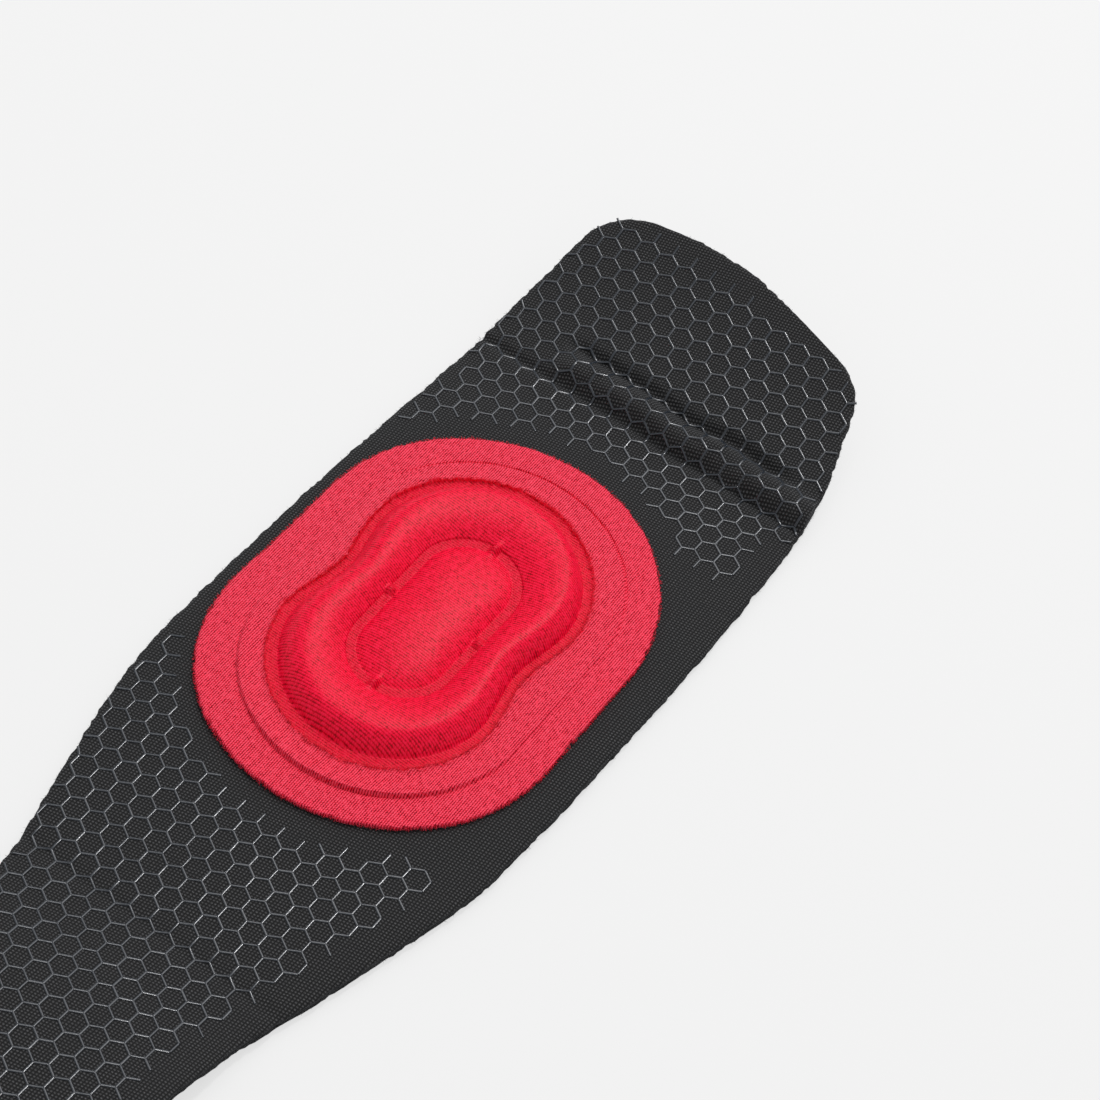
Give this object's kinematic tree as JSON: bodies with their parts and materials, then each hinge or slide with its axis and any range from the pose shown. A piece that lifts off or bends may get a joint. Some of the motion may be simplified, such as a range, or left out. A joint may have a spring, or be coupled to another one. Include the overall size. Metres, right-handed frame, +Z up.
{
  "type": "elbow support strap",
  "caption": "Elbow support strap lying open, skin side up: black grip-printed knit band with a rounded flap, a fold and roll, and an oval red pressure pad.",
  "frame": {"origin": "middle of the whole lying strap's box, on the surface that it rests on", "axes": "+X along the strap to its end flap, +Y to its left edge seen from the tail, +Z up out of the skin side"},
  "size_m": [0.3286, 0.0732, 0.02],
  "materials": {
    "knit": "matte black laminated stretch knit with raw-cut, slightly fuzzy edges",
    "grip_print": "thin raised silicone line print, glossy, dark blue-grey",
    "pad_cloth": "fine ribbed red knit with a soft sheen, moulded over the pad",
    "hook": "dark moulded hook fastener with fine rows of hooks"
  },
  "bodies": {
    "root": {"band": "knit", "hook_tab": "hook", "pad_patch": "pad_cloth", "ring_cushion": "pad_cloth", "core_cushion": "pad_cloth", "bridge_tab_1": "pad_cloth", "bridge_tab_2": "pad_cloth", "bridge_tab_3": "pad_cloth", "bridge_tab_4": "pad_cloth"}
  },
  "joints": []
}
